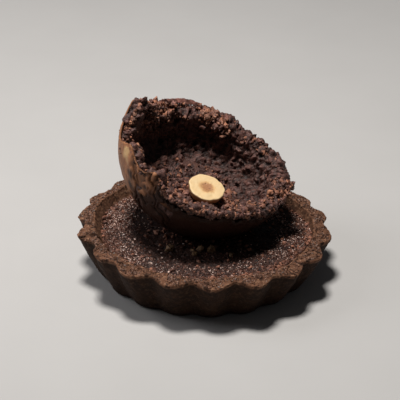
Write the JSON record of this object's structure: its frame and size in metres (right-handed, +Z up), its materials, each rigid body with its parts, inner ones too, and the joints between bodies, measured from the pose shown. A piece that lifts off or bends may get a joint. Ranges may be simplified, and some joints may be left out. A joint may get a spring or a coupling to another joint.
{
  "type": "chocolate tart",
  "caption": "Small fluted chocolate tart with a baked chocolate filling, topped with a tilted bowl of aerated chocolate that holds half a hazelnut.",
  "frame": {"origin": "middle of the crust's flat base, on the surface that the tart stands on", "axes": "+Z is up; -Y is the front, seen in the picture; the bowl's opening leans towards +X and a little towards -Y"},
  "size_m": [0.0993, 0.0995, 0.064],
  "materials": {
    "crust": "dry baked chocolate shortcrust, matt, with fine pores",
    "filling": "grainy baked chocolate with small bright specks",
    "aerated_chocolate": "porous, crumbly chocolate, matt",
    "chocolate_skin": "smooth thin chocolate skin with a soft sheen",
    "hazelnut": "pale cream nut with a tan middle and a faint oily sheen"
  },
  "bodies": {
    "root": {"crust": "crust", "filling": "filling", "chocolate_bowl": "aerated_chocolate", "chocolate_flake": "chocolate_skin", "hazelnut": "hazelnut"}
  },
  "joints": []
}
